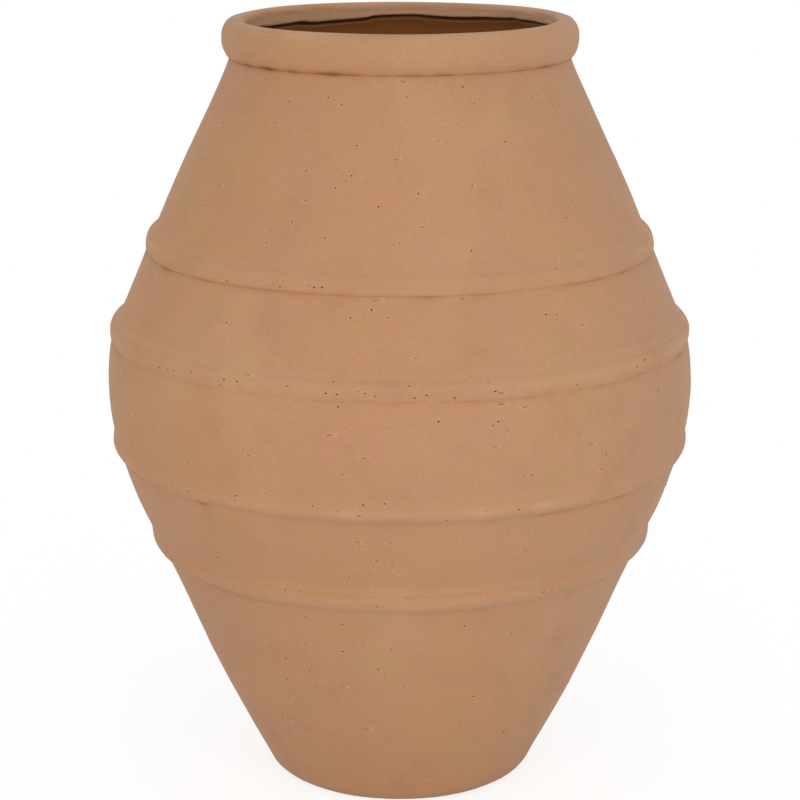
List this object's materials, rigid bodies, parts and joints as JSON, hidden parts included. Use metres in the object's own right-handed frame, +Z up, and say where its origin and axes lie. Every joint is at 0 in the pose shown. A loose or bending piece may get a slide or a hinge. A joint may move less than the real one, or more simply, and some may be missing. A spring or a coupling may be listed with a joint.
{
  "type": "storage jar",
  "caption": "Tall terracotta storage jar with a wide belly, raised clay bands over its joints, a rolled rim and a small flat foot.",
  "frame": {"origin": "middle of the flat underside, on the ground", "axes": "+Z up the jar's axis of turning; -Y towards the viewer of the picture; +X to the viewer's right"},
  "size_m": [0.6086, 0.6084, 0.8],
  "materials": {
    "terracotta_wall": "matte, unglazed, fine pits and scratches",
    "terracotta_bands": "matte, unglazed, chipped along the lower edges",
    "terracotta_rim": "matte, unglazed, smoothed by hand",
    "terracotta_inside": "matte, unglazed, rough from the hand"
  },
  "bodies": {
    "root": {"floor_disc": "terracotta_wall", "floor_coil": "terracotta_inside", "foot_strake": "terracotta_wall", "lower_belly_strake": "terracotta_wall", "belly_strake": "terracotta_wall", "shoulder_strake": "terracotta_wall", "neck_strake": "terracotta_wall", "foot_band": "terracotta_bands", "lower_belly_band": "terracotta_bands", "belly_band": "terracotta_bands", "shoulder_band": "terracotta_bands", "foot_seam_coil": "terracotta_inside", "lower_belly_seam_coil": "terracotta_inside", "belly_seam_coil": "terracotta_inside", "shoulder_seam_coil": "terracotta_inside", "rim": "terracotta_rim"}
  },
  "joints": []
}
